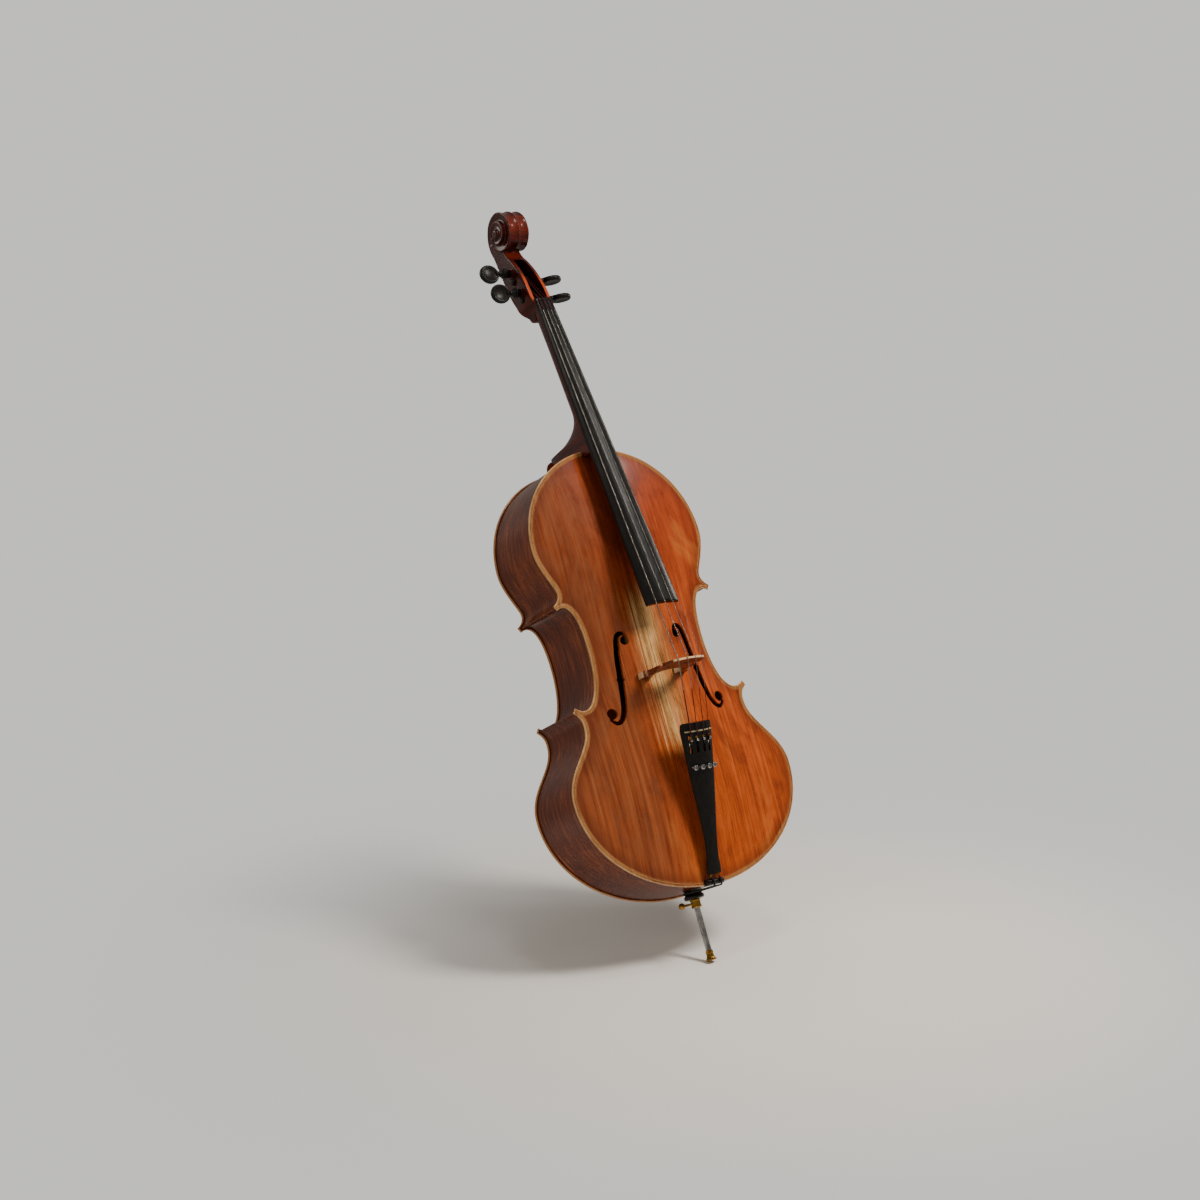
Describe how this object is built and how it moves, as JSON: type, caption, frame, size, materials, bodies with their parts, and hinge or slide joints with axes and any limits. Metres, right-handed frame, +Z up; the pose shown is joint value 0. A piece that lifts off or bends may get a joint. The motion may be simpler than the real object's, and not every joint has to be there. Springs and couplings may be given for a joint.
{
  "type": "cello",
  "caption": "Full-size cello: arched soundbox with f-holes, neck with pegbox and scroll, turning pegs, tailpiece with fine tuners, and a sliding endpin with a thumb screw.",
  "frame": {"origin": "middle of the endpin foot's flat underside, at the endpin's resting length", "axes": "+Z up the centre line towards the scroll, -Y towards the player's front side with the strings, +X towards the treble side"},
  "size_m": [0.438, 0.2594, 1.3383],
  "materials": {
    "belly_varnish": "glossy orange-brown varnish on straight-grained spruce, worn pale at the edges",
    "dark_varnish": "glossy dark red-brown varnish on figured maple",
    "ebony": "satin black ebony",
    "bare_spruce": "bare planed spruce",
    "bare_willow": "bare planed willow",
    "bridge_maple": "oiled maple, brown",
    "pale_fret": "pale bone-coloured strip, polished",
    "steel": "polished steel",
    "brass": "polished brass, slightly tarnished",
    "string_steel": "flat-wound steel string",
    "string_silk": "dark red silk wrapped over the string's end",
    "tail_cord": "black cord"
  },
  "bodies": {
    "cello": {"top_plate": "belly_varnish", "back_plate": "dark_varnish", "neck": "dark_varnish", "fingerboard": "ebony", "nut": "ebony", "saddle": "ebony", "tailpiece": "ebony", "endpin_socket": "ebony", "tailpiece_fret": "pale_fret", "bridge": "bridge_maple", "bass_bar": "bare_spruce", "sound_post": "bare_spruce", "upper_block": "bare_willow", "lower_block": "bare_willow", "front_linings": "bare_willow", "back_linings": "bare_willow", "tail_gut": "tail_cord", "tuner_axle": "steel", "endpin_ferrule": "brass", "rib_upper_bass": "dark_varnish", "rib_middle_bass": "dark_varnish", "rib_lower_bass": "dark_varnish", "corner_block_upper_bass": "bare_willow", "corner_block_lower_bass": "bare_willow", "rib_upper_treble": "dark_varnish", "rib_middle_treble": "dark_varnish", "rib_lower_treble": "dark_varnish", "corner_block_upper_treble": "bare_willow", "corner_block_lower_treble": "bare_willow", "string_c": "string_steel", "string_g": "string_steel", "string_d": "string_steel", "string_a": "string_steel"},
    "peg_c": {"peg_c": "ebony", "string_winding_c": "string_silk"},
    "tuner_screw_c": {"tuner_screw_c": "steel"},
    "tuner_knob_c": {"tuner_knob_c": "steel"},
    "tuner_lever_c": {"tuner_lever_c": "steel"},
    "peg_g": {"peg_g": "ebony", "string_winding_g": "string_silk"},
    "tuner_screw_g": {"tuner_screw_g": "steel"},
    "tuner_knob_g": {"tuner_knob_g": "steel"},
    "tuner_lever_g": {"tuner_lever_g": "steel"},
    "peg_d": {"peg_d": "ebony", "string_winding_d": "string_silk"},
    "tuner_screw_d": {"tuner_screw_d": "steel"},
    "tuner_knob_d": {"tuner_knob_d": "steel"},
    "tuner_lever_d": {"tuner_lever_d": "steel"},
    "peg_a": {"peg_a": "ebony", "string_winding_a": "string_silk"},
    "tuner_screw_a": {"tuner_screw_a": "steel"},
    "tuner_knob_a": {"tuner_knob_a": "steel"},
    "tuner_lever_a": {"tuner_lever_a": "steel"},
    "endpin": {"endpin_rod": "steel", "endpin_foot": "brass"},
    "thumb_screw": {"thumb_screw": "brass"},
    "thumb_screw_head": {"thumb_screw_head": "brass"}
  },
  "joints": [
    {"name": "peg_c_turn", "type": "hinge", "parent": "cello", "child": "peg_c", "pos_m": [0, -0.00518, 1.18231], "axis": [1, 0, 0], "continuous": true},
    {"name": "peg_g_turn", "type": "hinge", "parent": "cello", "child": "peg_g", "pos_m": [0, 0.01228, 1.22602], "axis": [1, 0, 0], "continuous": true},
    {"name": "peg_d_turn", "type": "hinge", "parent": "cello", "child": "peg_d", "pos_m": [0, 0.00388, 1.20614], "axis": [1, 0, 0], "continuous": true},
    {"name": "peg_a_turn", "type": "hinge", "parent": "cello", "child": "peg_a", "pos_m": [0, -0.00979, 1.16686], "axis": [1, 0, 0], "continuous": true},
    {"name": "tuner_screw_c_travel", "type": "slide", "parent": "cello", "child": "tuner_screw_c", "axis": [0, 0.9617, 0.274], "range_m": [-0.0012, 0.0012]},
    {"name": "tuner_knob_c_turn", "type": "hinge", "parent": "tuner_screw_c", "child": "tuner_knob_c", "pos_m": [-0.0185, -0.12511, 0.29922], "axis": [0, 0.9617, 0.274], "range_deg": [-725, 725]},
    {"name": "tuner_lever_c_swing", "type": "hinge", "parent": "cello", "child": "tuner_lever_c", "pos_m": [-0.0185, -0.125, 0.3346], "axis": [1, 0, 0], "range_deg": [-2.1, 2.1]},
    {"name": "tuner_screw_g_travel", "type": "slide", "parent": "cello", "child": "tuner_screw_g", "axis": [0, 0.9617, 0.274], "range_m": [-0.0012, 0.0012]},
    {"name": "tuner_knob_g_turn", "type": "hinge", "parent": "tuner_screw_g", "child": "tuner_knob_g", "pos_m": [-0.0065, -0.12511, 0.29922], "axis": [0, 0.9617, 0.274], "range_deg": [-725, 725]},
    {"name": "tuner_lever_g_swing", "type": "hinge", "parent": "cello", "child": "tuner_lever_g", "pos_m": [-0.0065, -0.125, 0.3346], "axis": [1, 0, 0], "range_deg": [-2.1, 2.1]},
    {"name": "tuner_screw_d_travel", "type": "slide", "parent": "cello", "child": "tuner_screw_d", "axis": [0, 0.9617, 0.274], "range_m": [-0.0012, 0.0012]},
    {"name": "tuner_knob_d_turn", "type": "hinge", "parent": "tuner_screw_d", "child": "tuner_knob_d", "pos_m": [0.0065, -0.12511, 0.29922], "axis": [0, 0.9617, 0.274], "range_deg": [-725, 725]},
    {"name": "tuner_lever_d_swing", "type": "hinge", "parent": "cello", "child": "tuner_lever_d", "pos_m": [0.0065, -0.125, 0.3346], "axis": [1, 0, 0], "range_deg": [-2.1, 2.1]},
    {"name": "tuner_screw_a_travel", "type": "slide", "parent": "cello", "child": "tuner_screw_a", "axis": [0, 0.9617, 0.274], "range_m": [-0.0012, 0.0012]},
    {"name": "tuner_knob_a_turn", "type": "hinge", "parent": "tuner_screw_a", "child": "tuner_knob_a", "pos_m": [0.0185, -0.12511, 0.29922], "axis": [0, 0.9617, 0.274], "range_deg": [-725, 725]},
    {"name": "tuner_lever_a_swing", "type": "hinge", "parent": "cello", "child": "tuner_lever_a", "pos_m": [0.0185, -0.125, 0.3346], "axis": [1, 0, 0], "range_deg": [-2.1, 2.1]},
    {"name": "endpin_slide", "type": "slide", "parent": "cello", "child": "endpin", "axis": [0, 0, -1], "range_m": [-0.07, 0.33]},
    {"name": "thumb_screw_travel", "type": "slide", "parent": "cello", "child": "thumb_screw", "axis": [-1, 0, 0], "range_m": [0, 0.0024]},
    {"name": "thumb_screw_turn", "type": "hinge", "parent": "thumb_screw", "child": "thumb_screw_head", "pos_m": [-0.0287, 0, 0.0957], "axis": [-1, 0, 0], "range_deg": [0, 1085]}
  ],
  "couplings": [
    {"joint": "tuner_knob_c_turn", "follows": "tuner_screw_c_travel", "rad_per_m": 10472},
    {"joint": "tuner_lever_c_swing", "follows": "tuner_screw_c_travel", "rad_per_m": 29.412},
    {"joint": "tuner_knob_g_turn", "follows": "tuner_screw_g_travel", "rad_per_m": 10472},
    {"joint": "tuner_lever_g_swing", "follows": "tuner_screw_g_travel", "rad_per_m": 29.412},
    {"joint": "tuner_knob_d_turn", "follows": "tuner_screw_d_travel", "rad_per_m": 10472},
    {"joint": "tuner_lever_d_swing", "follows": "tuner_screw_d_travel", "rad_per_m": 29.412},
    {"joint": "tuner_knob_a_turn", "follows": "tuner_screw_a_travel", "rad_per_m": 10472},
    {"joint": "tuner_lever_a_swing", "follows": "tuner_screw_a_travel", "rad_per_m": 29.412},
    {"joint": "thumb_screw_turn", "follows": "thumb_screw_travel", "rad_per_m": 7854}
  ]
}
